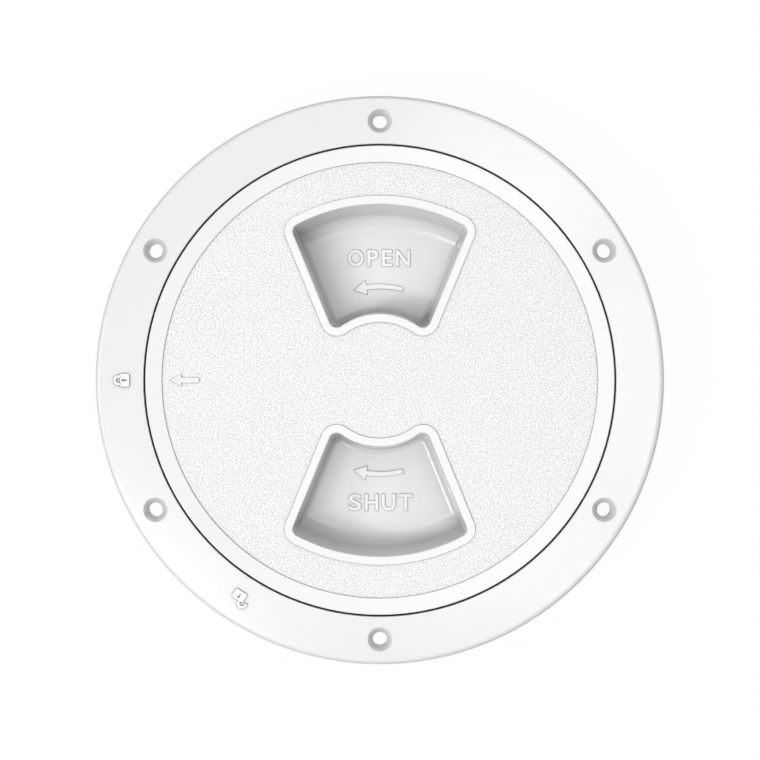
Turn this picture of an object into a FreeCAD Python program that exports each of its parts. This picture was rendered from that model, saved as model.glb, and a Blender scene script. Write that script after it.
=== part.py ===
import FreeCAD, Part
import math
import os
from types import SimpleNamespace

import Sketcher

# Deck inspection plate: a frame ring screwed over a round hole in a deck, a rubber seal in the ring's
# pocket, and a bayonet lid with two hand recesses. Millimetres and degrees.
# The origin is the centre of the screw circle on the deck, with +Z up out of the deck.

DRIVING_SIZES = [
    ("flange_width", 17.6, "width of the flange from the pocket to its outer edge"),
    ("flange_fall", 0.9, "drop of the flange's top from the pocket to the outer edge"),
    ("flange_edge_round", 2.2, "rounding of the flange's outer edge"),
    ("flange_web", 2.6, "thickness of the flange's top at its outer edge"),
    ("flange_rim_wall", 2.6, "thickness of the wall under the flange's outer edge"),
    ("pocket_wall", 2.5, "thickness of the pocket's wall"),
    ("pocket_edge_round", 0.3, "rounding of the pocket's top edge"),
    ("ledge_wall", 2.2, "thickness of the ledge that carries the seal"),
    ("lip_wall", 1.4, "thickness of the lip on the inner side of the seal"),
    ("flange_rib_wall", 1.8, "thickness of a rib under the flange"),
    ("flange_rib_count", 24, "ribs under the flange"),
    ("screw_setback", 8.44, "centres of the screw holes, out from the pocket"),
    ("screw_count", 6, "screw holes"),
    ("screw_start_angle", 30.0, "angle of the first screw hole from +X"),
    ("screw_hole_radius", 2.6, "clearance hole for a 5 mm screw"),
    ("screw_head_radius", 4.4, "mouth of the countersink"),
    ("screw_boss_radius", 5.4, "boss round a screw hole"),
    ("clear_radius", 76.2, "clear opening between the bayonet ramps"),
    ("ramp_reach", 3.4, "how far a ramp stands in from the collar's wall"),
    ("collar_wall", 2.6, "thickness of the collar's wall"),
    ("collar_depth", 20.0, "how far the collar goes down through the deck"),
    ("collar_edge_chamfer", 0.7, "chamfer on the collar's lower edge"),
    ("bayonet_count", 4, "bayonet ramps, and lugs on the lid"),
    ("ramp_wall", 3.0, "thickness of a bayonet ramp"),
    ("ramp_sweep", 62.0, "angle that a ramp covers"),
    ("ramp_rise", 1.2, "how much higher a ramp's entry end is"),
    ("stop_sweep", 6.0, "angle that a stop block covers"),
    ("stop_gap_angle", 0.5, "angle between a locked lug and its stop"),
    ("lock_angle", 45.0, "angle of the first lug from +X when the lid is locked"),
    ("seal_width", 3.2, "width of the rubber seal's section"),
    ("seal_height", 3.0, "height of the rubber seal's section"),
    ("seal_round", 0.3, "rounding of the seal's corners"),
    ("seal_gap", 0.1, "clearance round the seal and over the pocket's lip"),
    ("lid_gap", 0.6, "gap between the lid's rim and the pocket"),
    ("lid_rim_wall", 1.1, "thickness of the lid's rim over the seal"),
    ("lid_rim_round", 0.35, "rounding of the lid's top edge"),
    ("lid_stand", 0.2, "how far the lid stands above the pocket's edge"),
    ("lid_wall", 3.2, "thickness of the lid's plate"),
    ("band_width", 5.9, "smooth band between the lid's edge and the grained field"),
    ("field_depth", 0.35, "depth of the grained field below the smooth band"),
    ("skirt_gap", 0.6, "gap between the lid's skirt and the ramps"),
    ("skirt_wall", 2.4, "thickness of the lid's skirt"),
    ("skirt_foot", 9.0, "depth of the skirt's lower edge below the deck"),
    ("lug_gap", 0.4, "gap between a lug and the collar"),
    ("lug_wall", 3.0, "thickness of a lug"),
    ("lug_sweep", 24.0, "angle that a lug covers"),
    ("lock_gap", 0.2, "clearance between a locked lug and its ramp"),
    ("lid_rib_wall", 2.0, "thickness of a rib under the lid"),
    ("lid_rib_depth", 6.0, "height of a rib under the lid"),
    ("lid_rib_count", 8, "ribs under the lid"),
    ("recess_outer_radius", 63.0, "outer arc of a hand recess's mouth"),
    ("recess_inner_radius", 23.7, "inner arc of a hand recess's mouth"),
    ("recess_half_angle", 22.3, "slant of a hand recess's straight sides"),
    ("recess_apex", 23.35, "distance past the centre at which the straight sides meet"),
    ("recess_corner_round", 2.8, "rounding of the mouth's four corners"),
    ("recess_depth", 15.0, "depth of a hand recess"),
    ("recess_wall_run", 1.8, "how far the side and inner walls lean in over the recess's depth"),
    ("recess_outer_run", 3.5, "how far the outer wall leans in over the recess's depth"),
    ("recess_sweep_round", 5.5, "large round between the outer wall and the floor"),
    ("recess_foot_round", 1.5, "round between the other walls and the floor"),
    ("recess_mouth_round", 0.4, "rounding of the recess's mouth"),
    ("recess_wall", 2.2, "thickness of a recess's walls and floor"),
    ("recess_rim_width", 2.9, "smooth rim round a recess"),
]

# Angles in degrees.
FULL_TURN = 360
QUARTER_TURN = 90
HALF_TURN = 180

# WELD is how far a rib, boss or ramp runs into what it grows from, OUTSIDE how far a cut runs past a
# surface, and TOUCH how close two places are when they are the same.
WELD = 0.4
OUTSIDE = 5
TOUCH = 1e-4

# The numbers by which a sketch calls the points of its lines and arcs, its origin and its two axes.
START, END, CENTRE = range(1, 4)
ORIGIN = ACROSS_AXIS = -1
UP_AXIS = -2

UPWARD = FreeCAD.Vector(0, 0, 1)


class Size:
    """A length or angle that knows its number and the sheet's expression for it."""

    def __init__(self, number, text):
        self.number = number
        self.text = text

    def _join(self, other, sign, number):
        other = as_size(other)
        return Size(number(self.number, other.number), f"({self.text} {sign} {other.text})")

    def __add__(self, other):
        return self._join(other, "+", lambda a, b: a + b)

    def __sub__(self, other):
        return self._join(other, "-", lambda a, b: a - b)

    def __mul__(self, other):
        return self._join(other, "*", lambda a, b: a * b)

    def __truediv__(self, other):
        return self._join(other, "/", lambda a, b: a / b)

    def __neg__(self):
        return ZERO - self


def as_size(value):
    """A plain number as a Size."""
    return value if isinstance(value, Size) else Size(value, repr(value))


def sine(angle):
    """The sine of an angle in degrees, as a Size."""
    return Size(math.sin(math.radians(angle.number)), f"sin({angle.text} * 1 deg)")


ZERO = Size(0, "0")

document = FreeCAD.newDocument("deck_inspection_plate")
sheet = document.addObject("Spreadsheet::Sheet", "sizes")
for row, (alias, value, meaning) in enumerate(DRIVING_SIZES, start=1):
    sheet.set(f"A{row}", meaning)
    sheet.set(f"B{row}", str(value))
    sheet.setAlias(f"B{row}", alias)
document.recompute()

size = SimpleNamespace()
for alias, value, _ in DRIVING_SIZES:
    setattr(size, alias, Size(value, f"sizes.{alias}"))

# Heights, counted up from the deck through what is stacked in the pocket.
seal_bottom = size.ledge_wall
seal_top = seal_bottom + size.seal_height
rim_under = seal_top + size.seal_gap
lid_top = rim_under + size.lid_rim_wall
lid_under = lid_top - size.lid_wall
field_top = lid_top - size.field_depth
flange_top = lid_top - size.lid_stand
flange_edge_top = flange_top - size.flange_fall
flange_core = flange_edge_top - size.flange_web
lip_top = lid_under - size.seal_gap
collar_foot = -size.collar_depth
skirt_foot = -size.skirt_foot

# Radii, counted out from the clear opening: the bayonet and the collar, the lip and the seal beside it,
# the pocket round the seal, and the flange round the pocket.
collar_inner_radius = size.clear_radius + size.ramp_reach
collar_outer_radius = collar_inner_radius + size.collar_wall
lip_radius = collar_inner_radius + size.lip_wall
seal_inner_radius = lip_radius + size.seal_gap
seal_outer_radius = seal_inner_radius + size.seal_width
pocket_radius = seal_outer_radius + size.seal_gap
housing_radius = pocket_radius + size.pocket_wall
screw_circle_radius = pocket_radius + size.screw_setback
flange_radius = pocket_radius + size.flange_width
rim_inner_radius = flange_radius - size.flange_rim_wall

# Radii of the lid, each a clearance or a width in from the ring.
lid_radius = pocket_radius - size.lid_gap
field_radius = lid_radius - size.band_width
skirt_outer_radius = size.clear_radius - size.skirt_gap
skirt_inner_radius = skirt_outer_radius - size.skirt_wall
lug_radius = collar_inner_radius - size.lug_gap

# Angles and heights of the bayonet: each lug lies under its ramp, against a stop at the ramp's low end.
lug_start_angle = size.lock_angle - size.lug_sweep / 2
stop_start_angle = lug_start_angle - size.stop_gap_angle - size.stop_sweep
lug_rise = size.ramp_rise * size.lug_sweep / size.ramp_sweep
lug_top = skirt_foot + size.lug_wall
ramp_lead = size.ramp_rise * (size.stop_gap_angle + size.stop_sweep) / size.ramp_sweep
ramp_under = lug_top + size.lock_gap - ramp_lead


def origin_part(body, role):
    """One of a body's own origin planes or axes."""
    return next(part for part in body.Origin.OriginFeatures if part.Role == role)


def new_body(label):
    """An empty body with its label."""
    body = document.addObject("PartDesign::Body", label)
    body.Label = label
    return body


def new_sketch(body, label, role, turn=None, lift=None):
    """A sketch on one of the body's origin planes, turned about Z and lifted along it."""
    sketch = body.newObject("Sketcher::SketchObject", label)
    sketch.AttachmentSupport = [(origin_part(body, role), "")]
    sketch.MapMode = "FlatFace"
    sketch_up = UPWARD if role == "XY_Plane" else FreeCAD.Vector(0, 1, 0)
    if turn is not None:
        turned = FreeCAD.Rotation(sketch_up, turn.number)
        sketch.AttachmentOffset = FreeCAD.Placement(FreeCAD.Vector(), turned)
        sketch.setExpression("AttachmentOffset.Rotation.Angle", turn.text)
    if lift is not None:
        sketch.setExpression("AttachmentOffset.Base.z", lift.text)
    return sketch


def bind(sketch, kind, *where, size_of):
    """Adds a constraint with a value and ties the value to its size."""
    number = math.radians(size_of.number) if kind == "Angle" else size_of.number
    index = sketch.addConstraint(Sketcher.Constraint(kind, *where, number))
    sketch.setExpression(f"Constraints[{index}]", size_of.text)


def pin_point(sketch, line, end, across, up):
    """Ties one end of a line to its distances from the sketch's axes."""
    if across is ZERO:
        sketch.addConstraint(Sketcher.Constraint("PointOnObject", line, end, UP_AXIS))
    else:
        bind(sketch, "DistanceX", ORIGIN, START, line, end, size_of=across)
    if up is ZERO:
        sketch.addConstraint(Sketcher.Constraint("PointOnObject", line, end, ACROSS_AXIS))
    else:
        bind(sketch, "DistanceY", ORIGIN, START, line, end, size_of=up)


def draw_polygon(sketch, corners):
    """Closed straight lines through the corners, each corner tied to its sizes."""
    points = [FreeCAD.Vector(across.number, up.number, 0) for across, up in corners]
    following = points[1:] + points[:1]
    for point, next_point in zip(points, following):
        sketch.addGeometry(Part.LineSegment(point, next_point), False)
    for line in range(len(points)):
        sketch.addConstraint(Sketcher.Constraint("Coincident", line, END, (line + 1) % len(points), START))
    for line, (across, up) in enumerate(corners):
        pin_point(sketch, line, START, across, up)


def draw_circle(sketch, across, radius):
    """A circle centred on the sketch's level axis."""
    centre = FreeCAD.Vector(across.number, 0, 0)
    circle = sketch.addGeometry(Part.Circle(centre, UPWARD, radius.number), False)
    pin_point(sketch, circle, CENTRE, across, ZERO)
    bind(sketch, "Radius", circle, size_of=radius)


def arc_between(centre, start, end):
    """The arc about a centre that runs anticlockwise from start to end."""
    first = math.atan2(start.y - centre.y, start.x - centre.x)
    last = math.atan2(end.y - centre.y, end.x - centre.x)
    circle = Part.Circle(centre, UPWARD, (start - centre).Length)
    return Part.ArcOfCircle(circle, first, last)


def corner_points(apex, along, inward, distance_from_origin, radius):
    """Centre of a corner's round beside a slanted side, and where it meets that side."""
    base = apex + inward * radius
    reach = base.dot(along)
    travel = -reach + math.sqrt(reach**2 - base.Length**2 + distance_from_origin**2)
    return base + along * travel, apex + along * travel


def draw_recess_outline(sketch, margin, corner):
    """The hand recess's outline, grown by a margin: two arcs, two slanted sides and round corners."""
    outer = size.recess_outer_radius + margin
    inner = size.recess_inner_radius - margin
    apex_depth = size.recess_apex + margin / sine(size.recess_half_angle)
    slant = math.radians(size.recess_half_angle.number)
    centre = FreeCAD.Vector()
    apex = FreeCAD.Vector(0, -apex_depth.number, 0)
    along = FreeCAD.Vector(math.sin(slant), math.cos(slant), 0)
    inward = FreeCAD.Vector(-math.cos(slant), math.sin(slant), 0)
    outer_reach = outer.number - corner.number
    inner_reach = inner.number + corner.number
    outer_corner, side_top = corner_points(apex, along, inward, outer_reach, corner.number)
    inner_corner, side_foot = corner_points(apex, along, inward, inner_reach, corner.number)
    outer_end = outer_corner * (outer.number / outer_corner.Length)
    inner_end = inner_corner * (inner.number / inner_corner.Length)

    def mirrored(point):
        return FreeCAD.Vector(-point.x, point.y, 0)

    shapes = [
        arc_between(centre, outer_end, mirrored(outer_end)),
        arc_between(mirrored(outer_corner), mirrored(outer_end), mirrored(side_top)),
        Part.LineSegment(mirrored(side_top), mirrored(side_foot)),
        arc_between(mirrored(inner_corner), mirrored(side_foot), mirrored(inner_end)),
        arc_between(centre, inner_end, mirrored(inner_end)),
        arc_between(inner_corner, inner_end, side_foot),
        Part.LineSegment(side_foot, side_top),
        arc_between(outer_corner, side_top, outer_end),
    ]
    drawn = sketch.addGeometry(shapes, False)
    outer_arc, left_top, left, left_foot, inner_arc, right_foot, right, right_top = drawn
    for first, first_end, second, second_end in [
        (outer_arc, END, left_top, START),
        (left_top, END, left, START),
        (left, END, left_foot, START),
        (left_foot, END, inner_arc, END),
        (inner_arc, START, right_foot, START),
        (right_foot, END, right, START),
        (right, END, right_top, START),
        (right_top, END, outer_arc, START),
    ]:
        sketch.addConstraint(Sketcher.Constraint("Tangent", first, first_end, second, second_end))
    for arc, radius in [(outer_arc, outer), (inner_arc, inner)]:
        sketch.addConstraint(Sketcher.Constraint("Coincident", arc, CENTRE, ORIGIN, START))
        bind(sketch, "Radius", arc, size_of=radius)
    for arc in (left_top, left_foot, right_foot, right_top):
        bind(sketch, "Radius", arc, size_of=corner)
    apex_point = sketch.addGeometry(Part.Point(apex), True)
    pin_point(sketch, apex_point, START, ZERO, -apex_depth)
    for side, angle in [
        (right, as_size(QUARTER_TURN) - size.recess_half_angle),
        (left, size.recess_half_angle - QUARTER_TURN),
    ]:
        sketch.addConstraint(Sketcher.Constraint("PointOnObject", apex_point, START, side))
        bind(sketch, "Angle", side, size_of=angle)


def revolved(body, label, corners, turn=None, sweep=None):
    """A section turned about the plate's axis, all round or through part of a turn."""
    sketch = new_sketch(body, f"{label}_section", "XZ_Plane", turn=turn)
    draw_polygon(sketch, corners)
    feature = body.newObject("PartDesign::Revolution", label)
    feature.Profile = sketch
    feature.ReferenceAxis = (origin_part(body, "Z_Axis"), [""])
    feature.Angle = FULL_TURN
    if sweep is not None:
        feature.setExpression("Angle", sweep.text)
    return feature


def helical(body, label, corners, turn, sweep, rise):
    """A section that climbs as it goes round the plate's axis."""
    sketch = new_sketch(body, f"{label}_section", "XZ_Plane", turn=turn)
    draw_polygon(sketch, corners)
    feature = body.newObject("PartDesign::AdditiveHelix", label)
    feature.Profile = sketch
    feature.ReferenceAxis = (origin_part(body, "Z_Axis"), [""])
    feature.Mode = "height-turns-angle"
    feature.setExpression("Height", rise.text)
    feature.setExpression("Turns", (sweep / FULL_TURN).text)
    return feature


def padded(body, label, sketch, length, downward=False):
    """A sketch pushed straight along Z."""
    feature = body.newObject("PartDesign::Pad", label)
    feature.Profile = sketch
    feature.Reversed = downward
    feature.setExpression("Length", length.text)
    return feature


def repeated_round(body, label, features, count):
    """Equal copies of features all round the plate's axis."""
    pattern = body.newObject("PartDesign::PolarPattern", label)
    pattern.Originals = features
    pattern.Axis = (origin_part(body, "Z_Axis"), [""])
    pattern.Angle = FULL_TURN
    pattern.setExpression("Occurrences", count.text)
    body.Tip = pattern
    return pattern


def edge_names(shape, wanted):
    """Names of a shape's edges that pass a test."""
    return [f"Edge{number}" for number, edge in enumerate(shape.Edges, start=1) if wanted(edge)]


def ring_edge(radius, height):
    """A test for full or part circles about the plate's axis at a radius and height."""

    def wanted(edge):
        return all(
            abs(math.hypot(vertex.X, vertex.Y) - radius.number) < TOUCH
            and abs(vertex.Z - height.number) < TOUCH
            for vertex in edge.Vertexes
        )

    return wanted


def dressed(body, kind, label, wanted, amount):
    """A fillet or chamfer on the body's edges that pass a test."""
    document.recompute()
    base = body.Tip
    names = edge_names(base.Shape, wanted)
    if not names:
        raise RuntimeError(f"{label}: no edge found")
    feature = body.newObject(f"PartDesign::{kind}", label)
    feature.Base = (base, names)
    feature.setExpression("Radius" if kind == "Fillet" else "Size", amount.text)
    return feature


def make_frame_ring():
    """The fixed ring: flange, pocket, seal ledge, collar, bayonet ramps, bosses, ribs and screw holes."""
    body = new_body("frame_ring")
    revolved(
        body,
        "ring",
        [
            (collar_inner_radius, collar_foot),
            (collar_outer_radius, collar_foot),
            (collar_outer_radius, ZERO),
            (housing_radius, ZERO),
            (housing_radius, flange_core),
            (rim_inner_radius, flange_core),
            (rim_inner_radius, ZERO),
            (flange_radius, ZERO),
            (flange_radius, flange_edge_top),
            (pocket_radius, flange_top),
            (pocket_radius, seal_bottom),
            (lip_radius, seal_bottom),
            (lip_radius, lip_top),
            (collar_inner_radius, lip_top),
        ],
    )
    flange_edge = ring_edge(flange_radius, flange_edge_top)
    pocket_edge = ring_edge(pocket_radius, flange_top)
    collar_edge = ring_edge(collar_outer_radius, collar_foot)
    dressed(body, "Fillet", "flange_edge", flange_edge, size.flange_edge_round)
    dressed(body, "Fillet", "pocket_edge", pocket_edge, size.pocket_edge_round)
    dressed(body, "Chamfer", "collar_edge", collar_edge, size.collar_edge_chamfer)

    boss_sketch = new_sketch(body, "boss_outline", "XY_Plane", turn=size.screw_start_angle)
    draw_circle(boss_sketch, screw_circle_radius, size.screw_boss_radius)
    boss = padded(body, "boss", boss_sketch, flange_core + WELD)
    repeated_round(body, "bosses", [boss], size.screw_count)

    rib_sketch = new_sketch(body, "flange_rib_outline", "XY_Plane")
    rib_side = size.flange_rib_wall / 2
    draw_polygon(
        rib_sketch,
        [
            (housing_radius - WELD, -rib_side),
            (rim_inner_radius + WELD, -rib_side),
            (rim_inner_radius + WELD, rib_side),
            (housing_radius - WELD, rib_side),
        ],
    )
    rib = padded(body, "flange_rib", rib_sketch, flange_core + WELD)
    repeated_round(body, "flange_ribs", [rib], size.flange_rib_count)

    ramp = helical(
        body,
        "ramp",
        [
            (size.clear_radius, ramp_under),
            (collar_inner_radius + WELD, ramp_under),
            (collar_inner_radius + WELD, ramp_under + size.ramp_wall),
            (size.clear_radius, ramp_under + size.ramp_wall),
        ],
        turn=stop_start_angle,
        sweep=size.ramp_sweep,
        rise=size.ramp_rise,
    )
    repeated_round(body, "ramps", [ramp], size.bayonet_count)
    stop = revolved(
        body,
        "stop",
        [
            (size.clear_radius, skirt_foot),
            (collar_inner_radius + WELD, skirt_foot),
            (collar_inner_radius + WELD, ramp_under + WELD),
            (size.clear_radius, ramp_under + WELD),
        ],
        turn=stop_start_angle,
        sweep=size.stop_sweep,
    )
    repeated_round(body, "stops", [stop], size.bayonet_count)

    hole_sketch = new_sketch(body, "screw_hole_section", "XZ_Plane", turn=size.screw_start_angle)
    top_at_screw = flange_top - size.flange_fall * (screw_circle_radius - pocket_radius) / (
        flange_radius - pocket_radius
    )
    sink_depth = size.screw_head_radius - size.screw_hole_radius
    hole_wall = screw_circle_radius + size.screw_hole_radius
    draw_polygon(
        hole_sketch,
        [
            (screw_circle_radius, ZERO - OUTSIDE),
            (hole_wall, ZERO - OUTSIDE),
            (hole_wall, top_at_screw - sink_depth),
            (hole_wall + sink_depth + OUTSIDE, top_at_screw + OUTSIDE),
            (screw_circle_radius, top_at_screw + OUTSIDE),
        ],
    )
    axis_foot = FreeCAD.Vector(screw_circle_radius.number, 0, 0)
    axis_line = Part.LineSegment(axis_foot, axis_foot + FreeCAD.Vector(0, OUTSIDE, 0))
    hole_axis = hole_sketch.addGeometry(axis_line, True)
    pin_point(hole_sketch, hole_axis, START, screw_circle_radius, ZERO)
    pin_point(hole_sketch, hole_axis, END, screw_circle_radius, as_size(OUTSIDE))
    hole = body.newObject("PartDesign::Groove", "screw_hole")
    hole.Profile = hole_sketch
    hole.ReferenceAxis = (hole_sketch, ["Axis0"])
    hole.Angle = FULL_TURN
    repeated_round(body, "screw_holes", [hole], size.screw_count)
    return body


def make_seal_ring():
    """The rubber ring on the pocket's ledge, under the lid's rim."""
    body = new_body("seal_ring")
    revolved(
        body,
        "seal",
        [
            (seal_inner_radius, seal_bottom),
            (seal_outer_radius, seal_bottom),
            (seal_outer_radius, seal_top),
            (seal_inner_radius, seal_top),
        ],
    )
    dressed(body, "Fillet", "seal_corners", lambda edge: edge.Closed, size.seal_round)
    return body


def make_recess_form(label, turn, margin, floor, rim):
    """The space of a hand recess, or, with a margin, the outside of its walls and its raised rim."""
    body = new_body(label)
    corner = size.recess_corner_round + margin
    mouth_outline = new_sketch(body, f"{label}_mouth_outline", "XY_Plane", lift=lid_top)
    draw_recess_outline(mouth_outline, margin, corner)
    floor_outline = new_sketch(body, f"{label}_floor_outline", "XY_Plane", lift=floor)
    draw_recess_outline(floor_outline, margin - size.recess_wall_run, corner)
    walls = body.newObject("PartDesign::AdditiveLoft", f"{label}_walls")
    walls.Profile = mouth_outline
    walls.Sections = [floor_outline]
    walls.Ruled = True

    def on_floor(edge):
        return all(abs(vertex.Z - floor.number) < TOUCH for vertex in edge.Vertexes)

    dressed(body, "Fillet", f"{label}_foot", on_floor, size.recess_foot_round + margin)
    sweep_section = new_sketch(body, f"{label}_sweep_section", "XZ_Plane")
    draw_outer_wall_section(sweep_section, margin, floor)
    sweep = body.newObject("PartDesign::Groove", f"{label}_sweep")
    sweep.Profile = sweep_section
    sweep.ReferenceAxis = (origin_part(body, "Z_Axis"), [""])
    sweep.Angle = FULL_TURN
    if rim:
        rim_outline = new_sketch(body, f"{label}_rim_outline", "XY_Plane", lift=lid_top)
        rim_width = size.recess_rim_width
        draw_recess_outline(rim_outline, rim_width, size.recess_corner_round + rim_width)
        padded(body, f"{label}_rim", rim_outline, size.lid_wall, downward=True)
    body.Placement = FreeCAD.Placement(FreeCAD.Vector(), FreeCAD.Rotation(UPWARD, turn))
    return body


def draw_outer_wall_section(sketch, margin, floor):
    """What lies outside the recess's leaning outer wall and the large round at its foot."""
    top_radius = size.recess_outer_radius + margin
    foot_radius = top_radius - size.recess_outer_run
    round_radius = size.recess_sweep_round + margin
    beyond = top_radius + OUTSIDE
    above = lid_top + WELD
    below = floor - WELD
    wall_top = FreeCAD.Vector(top_radius.number, lid_top.number, 0)
    wall_foot = FreeCAD.Vector(foot_radius.number, floor.number, 0)
    lean = (wall_top - wall_foot).normalize()
    inward = FreeCAD.Vector(-1, 0, 0)
    tangent_run = round_radius.number / math.tan(lean.getAngle(inward) / 2)
    wall_end = wall_foot + lean * tangent_run
    floor_end = wall_foot + inward * tangent_run
    centre = floor_end + FreeCAD.Vector(0, round_radius.number, 0)
    floor_below = FreeCAD.Vector(floor_end.x, below.number, 0)
    corners = [
        FreeCAD.Vector(beyond.number, below.number, 0),
        FreeCAD.Vector(beyond.number, above.number, 0),
        FreeCAD.Vector(top_radius.number, above.number, 0),
    ]
    shapes = [
        Part.LineSegment(floor_below, corners[0]),
        Part.LineSegment(corners[0], corners[1]),
        Part.LineSegment(corners[1], corners[2]),
        Part.LineSegment(corners[2], wall_top),
        Part.LineSegment(wall_top, wall_end),
        arc_between(centre, floor_end, wall_end),
        Part.LineSegment(floor_end, floor_below),
    ]
    under, outside, over, drop, wall, sweep, close = sketch.addGeometry(shapes, False)
    for first, first_end, second, second_end in [
        (under, END, outside, START),
        (outside, END, over, START),
        (over, END, drop, START),
        (drop, END, wall, START),
        (sweep, START, close, START),
        (close, END, under, START),
    ]:
        sketch.addConstraint(Sketcher.Constraint("Coincident", first, first_end, second, second_end))
    sketch.addConstraint(Sketcher.Constraint("Tangent", wall, END, sweep, END))
    sketch.addConstraint(Sketcher.Constraint("Vertical", close))
    bind(sketch, "DistanceY", ORIGIN, START, under, START, size_of=below)
    pin_point(sketch, outside, START, beyond, below)
    pin_point(sketch, over, START, beyond, above)
    pin_point(sketch, drop, START, top_radius, above)
    pin_point(sketch, wall, START, top_radius, lid_top)
    bind(sketch, "Radius", sweep, size_of=round_radius)
    bind(sketch, "DistanceY", ORIGIN, START, sweep, START, size_of=floor)
    sketch.addConstraint(Sketcher.Constraint("Vertical", sweep, START, sweep, CENTRE))
    foot_point = sketch.addGeometry(Part.Point(wall_foot), True)
    pin_point(sketch, foot_point, START, foot_radius, floor)
    sketch.addConstraint(Sketcher.Constraint("PointOnObject", foot_point, START, wall))


def mouth_edges(shape):
    """The edges of the recesses' mouths, which are the inner outlines of their flat rims."""
    rims = [
        face
        for face in shape.Faces
        if all(
            abs(vertex.Z - lid_top.number) < TOUCH
            and math.hypot(vertex.X, vertex.Y) < field_radius.number - TOUCH
            for vertex in face.Vertexes
        )
    ]
    mouths = [wire for rim in rims for wire in rim.Wires if not wire.isSame(rim.OuterWire)]
    return [edge for mouth in mouths for edge in mouth.Edges]


def make_lid():
    """The turning lid: plate, rim, grained field, skirt, lugs, ribs and two hand recesses."""
    body = new_body("lid")
    revolved(
        body,
        "plate",
        [
            (ZERO, field_top),
            (field_radius, field_top),
            (field_radius, lid_top),
            (lid_radius, lid_top),
            (lid_radius, rim_under),
            (lip_radius, rim_under),
            (lip_radius, lid_under),
            (skirt_outer_radius, lid_under),
            (skirt_outer_radius, skirt_foot),
            (skirt_inner_radius, skirt_foot),
            (skirt_inner_radius, lid_under),
            (ZERO, lid_under),
        ],
    )
    dressed(body, "Fillet", "rim_edge", ring_edge(lid_radius, lid_top), size.lid_rim_round)

    lug = helical(
        body,
        "lug",
        [
            (skirt_outer_radius - WELD, skirt_foot),
            (lug_radius, skirt_foot),
            (lug_radius, lug_top),
            (skirt_outer_radius - WELD, lug_top),
        ],
        turn=lug_start_angle,
        sweep=size.lug_sweep,
        rise=lug_rise,
    )
    repeated_round(body, "lugs", [lug], size.bayonet_count)

    rib_sketch = new_sketch(body, "lid_rib_outline", "XY_Plane", lift=lid_under + WELD)
    rib_side = size.lid_rib_wall / 2
    draw_polygon(
        rib_sketch,
        [
            (ZERO, -rib_side),
            (skirt_inner_radius + WELD, -rib_side),
            (skirt_inner_radius + WELD, rib_side),
            (ZERO, rib_side),
        ],
    )
    rib = padded(body, "lid_rib", rib_sketch, size.lid_rib_depth + WELD, downward=True)
    repeated_round(body, "lid_ribs", [rib], size.lid_rib_count)

    recess_floor = lid_top - size.recess_depth
    cup_floor = recess_floor - size.recess_wall
    turns = {"open": 0, "shut": HALF_TURN}
    cups = [
        make_recess_form(f"{side}_cup", turn, size.recess_wall, cup_floor, rim=True)
        for side, turn in turns.items()
    ]
    spaces = [
        make_recess_form(f"{side}_recess", turn, ZERO, recess_floor, rim=False)
        for side, turn in turns.items()
    ]
    for label, kind, tools in [("cups", "Fuse", cups), ("recesses", "Cut", spaces)]:
        boolean = body.newObject("PartDesign::Boolean", label)
        boolean.Type = kind
        boolean.setObjects(tools)
        body.Tip = boolean

    document.recompute()
    mouths = mouth_edges(body.Tip.Shape)
    dressed(
        body,
        "Fillet",
        "mouth_edge",
        lambda edge: any(edge.isSame(mouth) for mouth in mouths),
        size.recess_mouth_round,
    )
    return body


frame_ring = make_frame_ring()
seal_ring = make_seal_ring()
lid = make_lid()
document.recompute()

NODES = [frame_ring, seal_ring, lid]


def check_document():
    """Stops if any object failed or any node's shape is empty or broken."""
    for item in document.Objects:
        if "Invalid" in item.State or "Error" in item.State:
            raise RuntimeError(f"{item.Label} failed: {item.State}")
    for node in NODES:
        if node.Shape.isNull() or not node.Shape.isValid():
            raise RuntimeError(f"{node.Label} has no valid shape")


check_document()
os.makedirs("parts", exist_ok=True)
for node in NODES:
    node.Shape.exportStep(f"parts/{node.Label}.step")
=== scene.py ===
import math

import bmesh
import bpy
from bpy.props import FloatProperty, FloatVectorProperty, PointerProperty, StringProperty
from mathutils import Matrix, Vector


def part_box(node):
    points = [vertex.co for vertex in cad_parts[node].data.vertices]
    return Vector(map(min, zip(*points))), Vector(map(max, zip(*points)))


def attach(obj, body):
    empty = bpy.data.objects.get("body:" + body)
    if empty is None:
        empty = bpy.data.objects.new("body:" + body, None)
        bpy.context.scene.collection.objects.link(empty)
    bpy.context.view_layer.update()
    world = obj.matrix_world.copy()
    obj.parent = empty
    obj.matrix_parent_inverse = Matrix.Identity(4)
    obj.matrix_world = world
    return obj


bl_info = {
    "name": "Deck inspection plate",
    "version": (1, 0, 0),
    "blender": (4, 5, 0),
    "location": "3D View > Sidebar > Deck plate",
    "description": "Finishes, raised marks and studio of a round deck inspection plate",
    "category": "Object",
}

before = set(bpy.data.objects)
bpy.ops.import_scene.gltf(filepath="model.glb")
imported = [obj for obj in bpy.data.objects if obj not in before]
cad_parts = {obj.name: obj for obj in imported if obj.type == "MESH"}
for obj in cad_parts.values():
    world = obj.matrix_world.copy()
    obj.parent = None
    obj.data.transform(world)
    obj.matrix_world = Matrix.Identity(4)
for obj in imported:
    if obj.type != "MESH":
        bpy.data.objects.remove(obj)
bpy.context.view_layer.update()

# Lengths are kept in metres, so a length in millimetres is written as a number times MM.
# Angles are in degrees from +X, seen from above.
MM = 0.001

FLANGE_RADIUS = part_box("frame_ring")[1].x
PLATE_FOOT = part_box("frame_ring")[0].z

# A ray that looks for a surface starts well above the plate and goes down.
PROBE_HEIGHT = 0.1
DOWNWARD = Vector((0, 0, -1))

# A place in the lid's grained field, just beside the plate's centre.
FIELD_PLACE = Vector((0, 1 * MM, 0))

# How far a mark goes into the surface that it stands on.
MARK_ROOT = 0.3 * MM

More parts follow.
